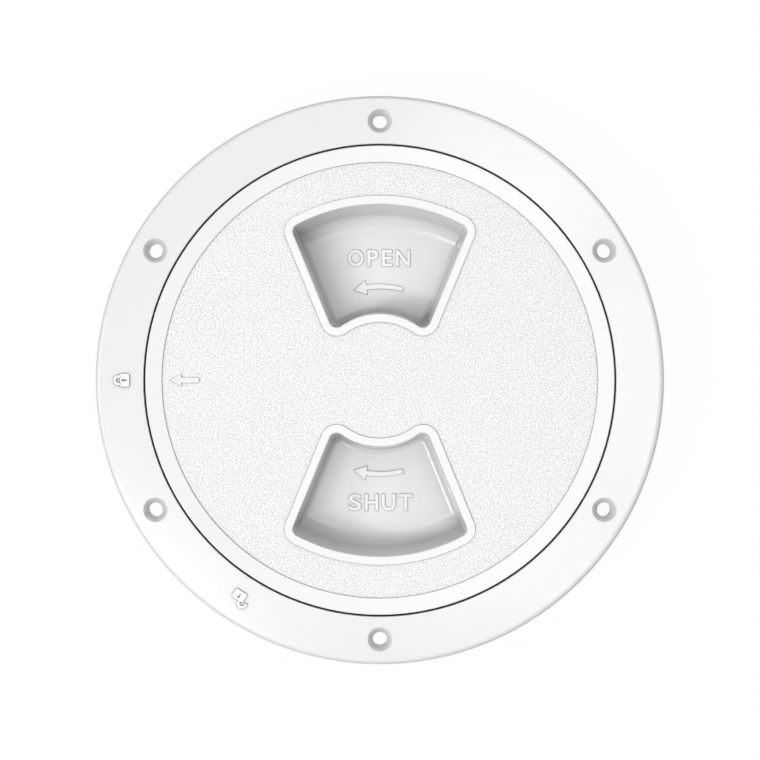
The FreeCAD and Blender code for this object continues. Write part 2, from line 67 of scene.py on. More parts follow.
# How much further a mark's sloped edge goes down than across.
STEEPNESS = 1.6

# Degrees between two points of a round outline, and of a recess arrow's bent shaft.
ARC_STEP = 6.0
ARROW_STEP = 3.0

# An edge of a mark stays sharp where it turns by more than these degrees.
SHARP_ANGLE = 35.0

# The open shackle's bend is lower than the closed one's by this share of the bar's width.
OPEN_SHACKLE_DROP = 0.25

# Widths of the capitals, as shares of their height.
LETTER_WIDTHS = {
    "E": 0.655,
    "H": 0.81,
    "N": 0.85,
    "O": 0.94,
    "P": 0.68,
    "S": 0.775,
    "T": 0.81,
    "U": 0.835,
}
OTHER_LETTER_WIDTH = 0.78

# Most of a noise lies between these two values.
NOISE_LOW, NOISE_HIGH = 0.3, 0.7

# Spacing of the flow lines in the white plastic, and of the small changes in its sheen.
FLOW_PITCH = 25 * MM
SHEEN_PITCH = 8 * MM
SHEEN_CHANGE = 0.06

# How closely the surroundings of a point are looked at for its openness.
OPENNESS_SAMPLES = 6

# Openness at which a corner's painted shade is at its darkest, and at which a corner has no
# painted shade.
CREASE_CLOSED, CREASE_OPEN = 0.5, 0.92

# The same for the painted shade in a hollow, with the power by which it darkens between the two.
HOLLOW_CLOSED, HOLLOW_OPEN = 0.5, 0.98
HOLLOW_POWER = 1.5

# Share of the width of the painted shade strip on the flange's edge over which it comes in.
RIM_BLEND = 1 / 3

# How far up the surface faces where its grain begins and where it is whole.
GRAIN_BEGINS, GRAIN_WHOLE = 0.9, 0.98

# Distance from the field's height where the field is whole and where it has ended.
FIELD_WITHIN, FIELD_BEYOND = 0.03 * MM, 0.06 * MM

# A pebble's top ends, and the valley begins, at these distances from its middle, in pitches.
PEBBLE_TOP, PEBBLE_VALLEY = 0.1, 0.75

# The powder on the rubber: its spacing, its height and how much it brightens the black.
POWDER_PITCH = 1.2 * MM
POWDER_HEIGHT = 0.02 * MM
POWDER_WHITE = 0.006

# Noise at which the powder begins and at which it is whole.
POWDER_BEGINS, POWDER_WHOLE = 0.45, 0.8

# How far the ground reaches to each side, and the distances that the camera sees, in metres.
GROUND_REACH = 3.0
CAMERA_NEAR, CAMERA_FAR = 0.01, 20.0

# The softboxes: name, azimuth and elevation in degrees, distance and width in metres, and watts.
LAMPS = [
    ("high_key", 225, 60, 3.0, 1.2, 39.0),
    ("key", 210, 45, 3.0, 0.5, 20.0),
    ("left", 180, 30, 3.0, 1.2, 10.8),
    ("back", 90, 45, 3.0, 1.2, 6.0),
    ("low_back", 60, 15, 3.0, 1.2, 12.0),
    ("low_right", 0, 15, 3.0, 1.2, 3.0),
    ("overhead", 0, 80, 1.2, 0.75, 3.55),
    ("top_back_right", 60, 72, 1.2, 0.3, 0.55),
    ("top_left", 180, 82, 1.2, 0.3, 0.32),
    ("top_front_right", 300, 72, 1.2, 0.3, 0.3),
    ("top_right", 0, 72, 1.2, 0.3, 0.24),
]


def length(name, description, millimetres):
    """A length that a user can set."""
    return FloatProperty(
        name=name,
        description=description,
        default=millimetres * MM,
        min=0.0,
        unit="LENGTH",
        precision=5,
    )


def angle(name, description, degrees):
    """An angle that a user can set."""
    return FloatProperty(
        name=name,
        description=description,
        default=math.radians(degrees),
        subtype="ANGLE",
    )


def share(name, description, value):
    """A number from 0 to 1 that a user can set."""
    return FloatProperty(
        name=name,
        description=description,
        default=value,
        min=0.0,
        max=1.0,
        subtype="FACTOR",
    )


def colour(name, description, value):
    """A colour that a user can set."""
    return FloatVectorProperty(
        name=name,
        description=description,
        default=value,
        min=0.0,
        max=1.0,
        size=3,
        subtype="COLOR",
    )


class PlateMarks(bpy.types.PropertyGroup):
    """Sizes and places of the raised words, arrows and padlocks."""

    field_rise: length("Field rise", "How far the pointer stands out of the lid's field", 0.34)
    flange_rise: length("Flange rise", "How far a padlock stands out of the flange", 0.44)
    recess_rise: length("Recess rise", "How far a mark stands out of a recess's floor", 0.42)
    slope: length("Slope", "Width of the slope round the top of a mark on the lid", 0.2)
    lock_slope: length("Padlock slope", "Width of the slope round a padlock's top", 0.12)
    open_word: StringProperty(
        name="Open word", description="Word in the upper hand recess", default="OPEN"
    )
    shut_word: StringProperty(
        name="Shut word", description="Word in the lower hand recess", default="SHUT"
    )
    word_height: length("Letter height", "Height of the capital letters", 6.4)
    letter_gap: length("Letter gap", "Space between two letters", 1.0)
    word_radius: length("Word place", "Distance from the plate's centre to a word's middle", 44.8)
    word_shift: length(
        "Word shift", "How far the upper word is left of the middle and the lower one right", 0.28
    )
    letter_weight: length("Letter weight", "How much a stroke is thickened on each side", 0.25)
    arrow_radius: length("Arrow radius", "Radius of the arc that a recess arrow follows", 34.4)
    arrow_width: length("Arrow width", "Width of a recess arrow's shaft at its head", 2.0)
    arrow_tail_width: length(
        "Arrow tail width", "Width of a recess arrow's shaft at its tail", 1.75
    )
    arrow_head_width: length("Arrow head width", "Width of a recess arrow's head", 5.6)
    arrow_tail: length("Arrow tail", "How far right of the centre a recess arrow starts", 8.6)
    arrow_head_base: length(
        "Arrow head base", "How far left of the centre a recess arrow's head starts", 4.85
    )
    arrow_tip: length("Arrow tip", "How far left of the centre a recess arrow ends", 9.7)
    pointer_tip: length("Pointer tip", "Distance from the centre to the pointer's tip", 75.3)
    pointer_head_base: length(
        "Pointer head base", "Distance from the centre to the pointer's head", 70.7
    )
    pointer_tail: length("Pointer tail", "Distance from the centre to the pointer's tail", 64.35)
    pointer_width: length("Pointer width", "Width of the lid pointer's shaft", 2.1)
    pointer_head_width: length("Pointer head width", "Width of the lid pointer's head", 4.6)
    pointer_round: length("Pointer round", "Rounding of the lid pointer's tail", 0.85)
    shut_angle: angle("Shut angle", "Where the closed padlock is", 180.0)
    open_angle: angle("Open angle", "Where the open padlock is", 236.9)
    shut_radius: length(
        "Closed padlock place", "Distance from the centre to the closed padlock's base", 89.4
    )
    open_radius: length(
        "Open padlock place", "Distance from the centre to the open padlock's base", 90.0
    )
    lock_width: length("Padlock width", "Width of a padlock's case", 4.8)
    lock_height: length("Padlock height", "Height of a padlock's case", 3.5)
    lock_round: length("Padlock round", "Rounding of the case's corners", 0.6)
    shackle_width: length("Shackle width", "Width of the shackle's bar", 1.05)
    shackle_radius: length("Shackle radius", "Radius of the bend's middle line", 1.35)
    shackle_leg: length("Shackle leg", "Straight part of the closed shackle above the case", 0.5)
    shackle_swing: length(
        "Shackle swing", "How far the open shackle's middle is from the padlock's", 2.3
    )
    keyhole_radius: length("Keyhole radius", "Radius of the keyhole's round part", 0.38)
    keyhole_slot: length("Keyhole slot", "Width of the keyhole's slot", 0.3)
    keyhole_top: length(
        "Keyhole place", "Height of the keyhole's round part above the case's base", 2.35
    )
    keyhole_foot: length("Keyhole foot", "Height of the slot's end above the case's base", 1.05)


class PlateFinishes(bpy.types.PropertyGroup):
    """Colours and surfaces of the mouldings and the seal."""

    white: colour("White", "Colour of the white plastic", (0.84, 0.84, 0.84))
    # Painted light: the raised marks are a lighter white than the plastic they are moulded in.
    mark_lit_white: colour("Mark white", "Colour of the raised marks", (0.93, 0.93, 0.93))
    tint_change: share("Tint change", "How much the white plastic's colour varies", 0.012)
    gloss: share("Roughness", "Roughness of the smooth white plastic", 0.15)
    skin_pitch: length("Skin pitch", "Spacing of the faint waves in the moulded skin", 3.0)
    skin_depth: length("Skin depth", "Depth of the faint waves in the moulded skin", 0.004)
    grain_pitch: length("Grain pitch", "Spacing of the pebbles in the grained field", 0.62)
    grain_depth: length("Grain depth", "Height of the pebbles in the grained field", 0.15)
    grain_roughness: share("Grain roughness", "Roughness of the grained field", 0.42)
    # Painted shade in the grain's valleys and painted light on its tops, which together also
    # lighten the field as a whole.
    grain_valley_painted_shade: share(
        "Grain low", "Brightness of the grain's valleys, against the smooth plastic", 0.88
    )
    grain_top_painted_light: FloatProperty(
        name="Grain high",
        description="Brightness of the grain's tops, against the smooth plastic",
        default=1.21,
        min=0.0,
    )
    # Painted shade in corners: how far from a corner, and how strongly, the colour is darkened
    # where the surface is not open.
    crease_reach: length("Crease reach", "How far from a corner the surface is duller", 0.45)
    crease_shade: share("Crease shade", "How much duller the surface is in a corner", 0.62)
    # Painted shade in the lid's hollows: the recesses are darkened the deeper they are.
    hollow_reach: length("Hollow reach", "Size of the lid's hollows that are duller", 25.0)
    hollow_shade: share("Hollow shade", "How much duller the lid is deep in a hollow", 0.34)
    # Painted shade in the frame's countersinks, darker deeper in them.
    sink_reach: length("Countersink reach", "Size of the frame's hollows that are duller", 8.0)
    sink_shade: share(
        "Countersink shade", "How much duller the frame is deep in a countersink", 0.56
    )
    # Painted shade on the round of the flange's outer edge: a darker strip where the edge turns
    # down.
    rim_width: length(
        "Rim width", "Width of the duller strip on the round of the flange's outer edge", 1.3
    )
    rim_shade: share("Rim shade", "How much duller the flange is at its outer edge", 0.2)
    rubber: colour("Rubber", "Colour of the seal", (0.018, 0.018, 0.018))
    rubber_roughness: share("Rubber roughness", "Roughness of the seal", 0.6)
    rubber_shine: share("Rubber shine", "Strength of the seal's reflections", 0.12)


class PlateStage(bpy.types.PropertyGroup):
    """The camera, the lamps and the ground."""

    camera_height: length("Camera height", "Height of the camera above the deck", 530.0)
    camera_across: length(
        "Camera across", "How far the camera is to the right of the plate's centre", 0.05
    )
    camera_up: length(
        "Camera up", "How far the camera is above the plate's centre in the picture", 0.06
    )
    camera_focus: FloatProperty(
        name="Focal length",
        description="Focal length of the lens",
        default=69.5,
        unit="CAMERA",
    )
    sky: share("Sky", "Brightness of the light from all round", 0.1)
    ground_bounce: share(
        "Ground bounce", "Share of the light that the ground sends up to the plate", 0.58
    )
    ground_white: share("Ground white", "Brightness of the ground's paint where it is seen", 0.9)
    ground_glow: share(
        "Ground glow", "Share of plain white in what the camera sees of the ground", 0.955
    )


def emptied_tree(owner):
    """The node tree of a material or a world, with no nodes in it."""
    owner.use_nodes = True
    owner.node_tree.nodes.clear()
    return owner.node_tree


def add_node(tree, kind, values=(), links=(), **settings):
    """A node with its settings, the values of its sockets, and what is linked to them."""
    node = tree.nodes.new(kind)
    for setting, value in settings.items():
        setattr(node, setting, value)
    for socket, value in dict(values).items():
        node.inputs[socket].default_value = value
    for socket, source in dict(links).items():
        tree.links.new(source, node.inputs[socket])
    return node


def new_material(name):
    """A node material with only its shader, ready for its textures."""
    material = bpy.data.materials.new(name)
    tree = emptied_tree(material)
    shader = add_node(tree, "ShaderNodeBsdfPrincipled")
    add_node(tree, "ShaderNodeOutputMaterial", links={"Surface": shader.outputs["BSDF"]})
    return material, tree, shader


def model_coordinates(tree):
    """Places on the model, in metres, which turn with the lid."""
    return add_node(tree, "ShaderNodeTexCoord").outputs["Object"]


def remapped(tree, value, low, high, to_low, to_high):
    """A value spread over another range and held inside it."""
    node = add_node(
        tree,
        "ShaderNodeMapRange",
        {"From Min": low, "From Max": high, "To Min": to_low, "To Max": to_high},
        {"Value": value},
    )
    return node.outputs["Result"]


def noise(tree, place, pitch, detail):
    """Smooth noise whose features are about a pitch apart."""
    node = add_node(
        tree, "ShaderNodeTexNoise", {"Scale": 1 / pitch, "Detail": detail}, {"Vector": place}
    )
    return node.outputs["Fac"]


def arithmetic(tree, operation, *terms):
    """The result of one sum on sockets and plain numbers."""
    node = add_node(tree, "ShaderNodeMath", operation=operation)
    for socket, term in zip(node.inputs, terms):
        if isinstance(term, bpy.types.NodeSocket):
            tree.links.new(term, socket)
        else:
            socket.default_value = term
    return node.outputs["Value"]


def two_tones(tree, value, low, high, low_colour, high_colour):
    """A colour that goes from one to another while a value goes from low to high."""
    ramp = add_node(tree, "ShaderNodeValToRGB", links={"Fac": value})
    first, last = ramp.color_ramp.elements
    first.position = low
    first.color = (*low_colour, 1)
    last.position = high
    last.color = (*high_colour, 1)
    return ramp.outputs["Color"]


def openness(tree, reach):
    """How open the surface is to what is within reach: 1 on a plain face, less in a corner."""
    node = add_node(
        tree, "ShaderNodeAmbientOcclusion", {"Distance": reach}, samples=OPENNESS_SAMPLES
    )
    return node.outputs["AO"]


def plastic_colour(tree, shader, place, white, finishes, hollow_size, hollow_shade, painted_tone):
    """White that drifts a little, as flow lines do, darkened by painted shade in corners and
    hollows and by the painted tone it is given.
    """
    drift = noise(tree, place, FLOW_PITCH, detail=3.0)
    dull = [channel * (1 - finishes.tint_change) for channel in white]
    drifting = two_tones(tree, drift, NOISE_LOW, NOISE_HIGH, dull, white)
    # Painted shade in corners and creases, from the openness close round each point.
    crease = openness(tree, finishes.crease_reach)
    crease_left = remapped(
        tree, crease, CREASE_CLOSED, CREASE_OPEN, 1 - finishes.crease_shade, 1.0
    )
    # Painted shade in hollows, from the openness over a wide reach.
    hollow = openness(tree, hollow_size)
    hollow_open = remapped(tree, hollow, HOLLOW_CLOSED, HOLLOW_OPEN, 0.0, 1.0)
    open_share = arithmetic(tree, "POWER", hollow_open, HOLLOW_POWER)
    hollow_left = remapped(tree, open_share, 0.0, 1.0, 1 - hollow_shade, 1.0)
    corners_left = arithmetic(tree, "MULTIPLY", crease_left, hollow_left)
    shade = arithmetic(tree, "MULTIPLY", corners_left, painted_tone)
    shaded = add_node(
        tree, "ShaderNodeVectorMath", links={0: drifting, 1: shade}, operation="MULTIPLY"
    )
    tree.links.new(shaded.outputs["Vector"], shader.inputs["Base Color"])


def skin_height(tree, place, finishes):
    """The faint waves of a moulded surface, as a height in metres."""
    waves = noise(tree, place, finishes.skin_pitch, detail=2.0)
    return arithmetic(tree, "MULTIPLY", waves, finishes.skin_depth)


def bump_from(tree, shader, height):
    """Tilts the surface by a height in metres."""
    bump = add_node(
        tree, "ShaderNodeBump", {"Strength": 1.0, "Distance": 1.0}, {"Height": height}
    )
    tree.links.new(bump.outputs["Normal"], shader.inputs["Normal"])


def rim_painted_shade(tree, place, finishes):
    """Painted shade: one over the plate, and less in the strip on the round of the flange's outer
    edge.
    """
    level = add_node(
        tree, "ShaderNodeVectorMath", {1: (1, 1, 0)}, {0: place}, operation="MULTIPLY"
    )
    radius = add_node(
        tree, "ShaderNodeVectorMath", links={0: level.outputs["Vector"]}, operation="LENGTH"
    )
    strip_start = FLANGE_RADIUS - finishes.rim_width
    strip_whole = strip_start + finishes.rim_width * RIM_BLEND
    return remapped(
        tree, radius.outputs["Value"], strip_start, strip_whole, 1.0, 1 - finishes.rim_shade
    )


def smooth_plastic(name, white, finishes, hollow_size, hollow_shade):
    """Smooth moulded white plastic, semi-gloss, with painted shade in corners, hollows and on the
    flange's outer edge.
    """
    material, tree, shader = new_material(name)
    place = model_coordinates(tree)
    painted_tone = rim_painted_shade(tree, place, finishes)
    plastic_colour(tree, shader, place, white, finishes, hollow_size, hollow_shade, painted_tone)
    sheen = remapped(
        tree,
        noise(tree, place, SHEEN_PITCH, detail=2.0),
        NOISE_LOW,
        NOISE_HIGH,
        finishes.gloss * (1 - SHEEN_CHANGE),
        finishes.gloss * (1 + SHEEN_CHANGE),
    )
    tree.links.new(sheen, shader.inputs["Roughness"])
    bump_from(tree, shader, skin_height(tree, place, finishes))
    return material


def mark_plastic(finishes):
    """The white plastic of the raised marks, lighter than the rest as painted light, made once."""
    name = "raised_lit_white_plastic"
    return bpy.data.materials.get(name) or smooth_plastic(
        name, finishes.mark_lit_white, finishes, finishes.hollow_reach, finishes.hollow_shade
    )


def upward_share(tree):
    """One on surface that faces straight up and nought on slopes."""
    normal = add_node(tree, "ShaderNodeNewGeometry").outputs["True Normal"]
    upward = add_node(tree, "ShaderNodeSeparateXYZ", links={"Vector": normal}).outputs["Z"]
    return remapped(tree, upward, GRAIN_BEGINS, GRAIN_WHOLE, 0.0, 1.0)


def field_share(tree, place):
    """One on the level surface of the lid's sunk field and nought elsewhere."""
    field_top = surface_height("lid", FIELD_PLACE)
    height = add_node(tree, "ShaderNodeSeparateXYZ", links={"Vector": place}).outputs["Z"]
    off_level = arithmetic(tree, "ABSOLUTE", arithmetic(tree, "SUBTRACT", height, field_top))
    near = remapped(tree, off_level, FIELD_WITHIN, FIELD_BEYOND, 1.0, 0.0)
    return arithmetic(tree, "MULTIPLY", near, upward_share(tree))


def grained_plastic(name, finishes, field_only):
    """White plastic with a leathery grain in the lid's field, or on all that faces up, with
    painted shade in the grain's valleys and painted light on its tops.
    """
    material, tree, shader = new_material(name)
    place = model_coordinates(tree)
    field = field_share(tree, place) if field_only else upward_share(tree)
    roughness = remapped(tree, field, 0.0, 1.0, finishes.gloss, finishes.grain_roughness)
    tree.links.new(roughness, shader.inputs["Roughness"])
    pebbles = add_node(
        tree,
        "ShaderNodeTexVoronoi",
        {"Scale": 1 / finishes.grain_pitch},
        {"Vector": place},
        voronoi_dimensions="2D",
    )
    pebble = remapped(tree, pebbles.outputs["Distance"], PEBBLE_TOP, PEBBLE_VALLEY, 1.0, 0.0)
    # The pebbles' painted tone: shade in the valleys and light on the tops.
    change = remapped(tree, pebble, 0.0, 1.0, finishes.grain_valley_painted_shade - 1, finishes.grain_top_painted_light - 1)
    painted_tone = arithmetic(tree, "ADD", arithmetic(tree, "MULTIPLY", change, field), 1)
    white, hollow_size, hollow_shade = finishes.white, finishes.hollow_reach, finishes.hollow_shade
    plastic_colour(tree, shader, place, white, finishes, hollow_size, hollow_shade, painted_tone)
    grain = arithmetic(tree, "MULTIPLY", pebble, finishes.grain_depth)
    masked = arithmetic(tree, "MULTIPLY", grain, field)
    skin = skin_height(tree, place, finishes)
    bump_from(tree, shader, arithmetic(tree, "ADD", masked, skin))
    return material


def seal_rubber(finishes):
    """Matt black rubber with a fine powdery skin."""
    material, tree, shader = new_material("black_rubber")
    place = model_coordinates(tree)
    shader.inputs["Roughness"].default_value = finishes.rubber_roughness
    shader.inputs["Specular IOR Level"].default_value = finishes.rubber_shine
    powder = noise(tree, place, POWDER_PITCH, detail=4.0)
    dusty = [channel + POWDER_WHITE for channel in finishes.rubber]
    black = two_tones(tree, powder, POWDER_BEGINS, POWDER_WHOLE, finishes.rubber, dusty)
    tree.links.new(black, shader.inputs["Base Color"])
    bump_from(tree, shader, arithmetic(tree, "MULTIPLY", powder, POWDER_HEIGHT))
    return material


def finish_node(node, material):
    """Gives a node of the model its material in every slot."""
    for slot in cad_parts[node].material_slots:
        slot.material = material


def surface_height(node, place):
    """Height of a node's upper surface at a place."""
    start = Vector((place.x, place.y, PROBE_HEIGHT))
    found, point, _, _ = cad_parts[node].ray_cast(start, DOWNWARD)
    if not found:
        raise RuntimeError(f"nothing of {node} under {place}")
    return point.z


def direction(degrees):
    """The way that an angle points in a flat outline."""
    turn = math.radians(degrees)
    return Vector((math.cos(turn), math.sin(turn)))


def arc_points(centre, radius, first, last):
    """Points along an arc, from one angle to another, in degrees."""
    steps = max(2, math.ceil(abs(last - first) / ARC_STEP))
    turns = [first + (last - first) * step / steps for step in range(steps + 1)]
    return [centre + direction(turn) * radius for turn in turns]


def flat_curve(name, outlines):
    """A flat shape inside closed outlines, with the later outlines as its holes."""
    curve = bpy.data.curves.new(name, "CURVE")
    curve.dimensions = "2D"
    for outline in outlines:
        spline = curve.splines.new("POLY")
        spline.points.add(len(outline) - 1)
        for point, place in zip(spline.points, outline):
            point.co = (place.x, place.y, 0, 1)
        spline.use_cyclic_u = True
    return curve


def raised_mesh(curve, rise, slope):
    """The mesh of a flat shape made solid, with a slope round its upper edge."""
    curve.fill_mode = "BOTH"
    curve.bevel_depth = slope
    curve.bevel_resolution = 0
    curve.extrude = (rise + MARK_ROOT) / STEEPNESS / 2 - slope
    curve.offset -= slope
    maker = bpy.data.objects.new(curve.name, curve)
    bpy.context.scene.collection.objects.link(maker)
    graph = bpy.context.evaluated_depsgraph_get()
    mesh = bpy.data.meshes.new_from_object(maker.evaluated_get(graph))
    bpy.data.objects.remove(maker)
    bpy.data.curves.remove(curve)
    lifted = Matrix.Translation((0, 0, (rise - MARK_ROOT) / 2))
    mesh.transform(lifted @ Matrix.Diagonal((1, 1, STEEPNESS, 1)))
    return mesh


def mould_mark(name, mesh, node, body, material):
    """A raised mark that follows the surface under it and is moulded with it."""
    for vertex in mesh.vertices:
        vertex.co.z += surface_height(node, vertex.co)
    for face in mesh.polygons:
        face.use_smooth = True
    mesh.set_sharp_from_angle(angle=math.radians(SHARP_ANGLE))
    mesh.materials.clear()
    mesh.materials.append(material)
    mark = bpy.data.objects.new(name, mesh)
    bpy.context.scene.collection.objects.link(mark)
    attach(mark, body)
    return mark


def letter_mesh(letter, marks):
    """One raised capital in its height and width, with its lower left corner at the origin."""
    glyph = bpy.data.curves.new("letter", "FONT")
    glyph.body = letter
    glyph.size = marks.word_height
    glyph.offset = marks.letter_weight
    mesh = raised_mesh(glyph, marks.recess_rise, marks.slope)
    across = [vertex.co.x for vertex in mesh.vertices]
    upward = [vertex.co.y for vertex in mesh.vertices]
    width = LETTER_WIDTHS.get(letter, OTHER_LETTER_WIDTH) * marks.word_height
    wider = width / (max(across) - min(across))
    taller = marks.word_height / (max(upward) - min(upward))
    to_origin = Matrix.Translation((-min(across), -min(upward), 0))
    mesh.transform(Matrix.Diagonal((wider, taller, 1, 1)) @ to_origin)
    return mesh, width


def word_mesh(name, word, marks, middle):
    """A word in raised capitals about its middle."""
    letters = [letter_mesh(letter, marks) for letter in word]
    letter_start = 0
    joined = bmesh.new()
    for mesh, width in letters:
        mesh.transform(Matrix.Translation((letter_start, 0, 0)))
        joined.from_mesh(mesh)
        bpy.data.meshes.remove(mesh)
        letter_start += width + marks.letter_gap
    word_length = letter_start - marks.letter_gap
    corner = middle - Vector((word_length / 2, marks.word_height / 2, 0))
    bmesh.ops.translate(joined, verts=joined.verts, vec=corner)
    mesh = bpy.data.meshes.new(name)
    joined.to_mesh(mesh)
    joined.free()
    return mesh


def recess_arrow_outline(marks, side):
    """An arrow that follows an arc and points left; side is 1 above the centre, -1 below."""
    radius = marks.arrow_radius
    tail, base, tip = (
        math.degrees(math.acos(across / radius))
        for across in (marks.arrow_tail, -marks.arrow_head_base, -marks.arrow_tip)
    )
    steps = math.ceil((base - tail) / ARROW_STEP)

    def shaft_edge(way):
        """One edge of the shaft, outer (1) or inner (-1), from the tail to the head."""
        points = []
        for step in range(steps + 1):
            done = step / steps
            width = marks.arrow_tail_width + (marks.arrow_width - marks.arrow_tail_width) * done
            turn = tail + (base - tail) * done
            points.append(direction(turn) * (radius + way * width / 2))
        return points

    head = [
        direction(base) * (radius + marks.arrow_head_width / 2),
        direction(tip) * radius,
        direction(base) * (radius - marks.arrow_head_width / 2),
    ]
    outline = shaft_edge(1) + head + list(reversed(shaft_edge(-1)))
    return [Vector((point.x, point.y * side)) for point in outline]


def pointer_outline(marks):
    """The lid's pointer, a straight arrow with a rounded tail, pointing outward on the left."""
    half = marks.pointer_width / 2
    turn = marks.pointer_round
    tail = -marks.pointer_tail
    head = -marks.pointer_head_base
    return [
        Vector((head, half)),
        Vector((head, marks.pointer_head_width / 2)),
        Vector((-marks.pointer_tip, 0)),
        Vector((head, -marks.pointer_head_width / 2)),
        Vector((head, -half)),
        *arc_points(Vector((tail - turn, turn - half)), turn, -90, 0),
        *arc_points(Vector((tail - turn, half - turn)), turn, 0, 90),
    ]


def keyhole_outline(marks):
    """A keyhole: a round hole with a slot below it."""
    centre = Vector((0, marks.keyhole_top))
    half = marks.keyhole_slot / 2
    reach = math.degrees(math.asin(half / marks.keyhole_radius))
    return [
        *arc_points(centre, marks.keyhole_radius, reach - 90, 270 - reach),
        Vector((-half, marks.keyhole_foot)),
        Vector((half, marks.keyhole_foot)),
    ]


def padlock_case(marks):
    """A padlock's case with rounded corners, standing on its base."""
    half = marks.lock_width / 2
    turn = marks.lock_round
    top = marks.lock_height
    return [
        *arc_points(Vector((half - turn, turn)), turn, -90, 0),
        *arc_points(Vector((half - turn, top - turn)), turn, 0, 90),
        *arc_points(Vector((turn - half, top - turn)), turn, 90, 180),
        *arc_points(Vector((turn - half, turn)), turn, 180, 270),
    ]


def shackle_outline(marks, across, bend_height, foot):
    """A U-shaped bar: where its middle is, and the heights of its bend's centre and its feet."""
    outer = marks.shackle_radius + marks.shackle_width / 2
    inner = marks.shackle_radius - marks.shackle_width / 2
    centre = Vector((across, bend_height))
    return [
        Vector((across + outer, foot)),
        *arc_points(centre, outer, 0, 180),
        Vector((across - outer, foot)),
        Vector((across - inner, foot)),
        *arc_points(centre, inner, 180, 0),
        Vector((across + inner, foot)),
    ]


def set_on_flange(mesh, radius, turn):
    """Moves a padlock's mesh to its place, standing outward from the plate's centre."""
    outward = Matrix.Rotation(turn - math.radians(90), 4, "Z")
    mesh.transform(outward @ Matrix.Translation((0, radius, 0)))


class DECKPLATE_OT_finish_frame_ring(bpy.types.Operator):
    """Give the frame ring its smooth white plastic"""

    bl_idname = "deckplate.finish_frame_ring"
    bl_label = "Finish the frame ring"

    def execute(self, context):
        finishes = context.scene.plate_finishes
        name = "smooth_white_plastic"
        plastic = smooth_plastic(
            name, finishes.white, finishes, finishes.sink_reach, finishes.sink_shade
        )
        finish_node("frame_ring", plastic)
        return {"FINISHED"}


class DECKPLATE_OT_finish_seal_ring(bpy.types.Operator):
    """Give the seal its black rubber"""

    bl_idname = "deckplate.finish_seal_ring"
    bl_label = "Finish the seal"

    def execute(self, context):
        finish_node("seal_ring", seal_rubber(context.scene.plate_finishes))
        return {"FINISHED"}


class DECKPLATE_OT_finish_lid(bpy.types.Operator):
    """Give the lid its white plastic with a grained field"""

    bl_idname = "deckplate.finish_lid"
    bl_label = "Finish the lid"

    def execute(self, context):
        finishes = context.scene.plate_finishes
        finish_node("lid", grained_plastic("grained_white_plastic", finishes, field_only=True))
        return {"FINISHED"}


class DECKPLATE_OT_add_words(bpy.types.Operator):
    """Raise the two words on the floors of the hand recesses"""

    bl_idname = "deckplate.add_words"
    bl_label = "Add the words"

    def execute(self, context):
        marks = context.scene.plate_marks
        material = mark_plastic(context.scene.plate_finishes)
        words = [("open_word", marks.open_word, 1), ("shut_word", marks.shut_word, -1)]
        for name, word, side in words:
            middle = Vector((-side * marks.word_shift, side * marks.word_radius, 0))
            mesh = word_mesh(name, word, marks, middle)
            mould_mark(name, mesh, "lid", "lid", material)
        return {"FINISHED"}


class DECKPLATE_OT_add_arrows(bpy.types.Operator):
    """Raise the turning arrows on the floors of the recesses, and the pointer on the field"""

    bl_idname = "deckplate.add_arrows"
    bl_label = "Add the arrows"

    def execute(self, context):
        marks = context.scene.plate_marks
        finishes = context.scene.plate_finishes
        smooth = mark_plastic(finishes)
        grained = grained_plastic("grained_pointer_plastic", finishes, field_only=False)
        arrows = {
            "open_arrow": (recess_arrow_outline(marks, 1), marks.recess_rise, smooth),
            "shut_arrow": (recess_arrow_outline(marks, -1), marks.recess_rise, smooth),
            "lid_pointer": (pointer_outline(marks), marks.field_rise, grained),
        }
        for name, (outline, rise, material) in arrows.items():
            mesh = raised_mesh(flat_curve(name, [outline]), rise, marks.slope)
            mould_mark(name, mesh, "lid", "lid", material)
        return {"FINISHED"}


class DECKPLATE_OT_add_padlocks(bpy.types.Operator):
    """Raise the closed and the open padlock on the flange"""

    bl_idname = "deckplate.add_padlocks"
    bl_label = "Add the padlocks"

    def execute(self, context):
        marks = context.scene.plate_marks
        material = mark_plastic(context.scene.plate_finishes)
        foot = marks.lock_height - marks.lock_round
        shut_bend = marks.lock_height + marks.shackle_leg
        open_bend = shut_bend - marks.shackle_width * OPEN_SHACKLE_DROP
        padlocks = {
            "closed_padlock": (0, shut_bend, marks.shut_radius, marks.shut_angle),
            "open_padlock": (
                -marks.shackle_swing,
                open_bend,
                marks.open_radius,
                marks.open_angle,
            ),
        }
        for name, (across, bend, radius, turn) in padlocks.items():
            parts = {
                f"{name}_case": [padlock_case(marks), keyhole_outline(marks)],
                f"{name}_shackle": [shackle_outline(marks, across, bend, foot)],
            }
            for part, outlines in parts.items():
                curve = flat_curve(part, outlines)
                mesh = raised_mesh(curve, marks.flange_rise, marks.lock_slope)
                set_on_flange(mesh, radius, turn)
                mould_mark(part, mesh, "frame_ring", "frame", material)
        return {"FINISHED"}


def add_lamp(name, azimuth, elevation, distance, width, watts):
    """A square softbox that looks at the plate's centre."""
    lamp = bpy.data.lights.new(name, "AREA")
    lamp.shape = "SQUARE"
    lamp.size = width
    lamp.energy = watts
    holder = bpy.data.objects.new(name, lamp)
    level = math.cos(elevation)
    back = Vector((math.cos(azimuth) * level, math.sin(azimuth) * level, math.sin(elevation)))
    holder.location = back * distance
    holder.rotation_mode = "QUATERNION"
    holder.rotation_quaternion = back.to_track_quat("Z", "Y")
    bpy.context.scene.collection.objects.link(holder)


def seen_share(tree):
    """One for what the camera sees, straight or in a reflection, and nought for other light."""
    rays = add_node(tree, "ShaderNodeLightPath").outputs
    seen = arithmetic(tree, "MAXIMUM", rays["Is Camera Ray"], rays["Is Glossy Ray"])
    return arithmetic(tree, "MAXIMUM", seen, rays["Is Transmission Ray"])


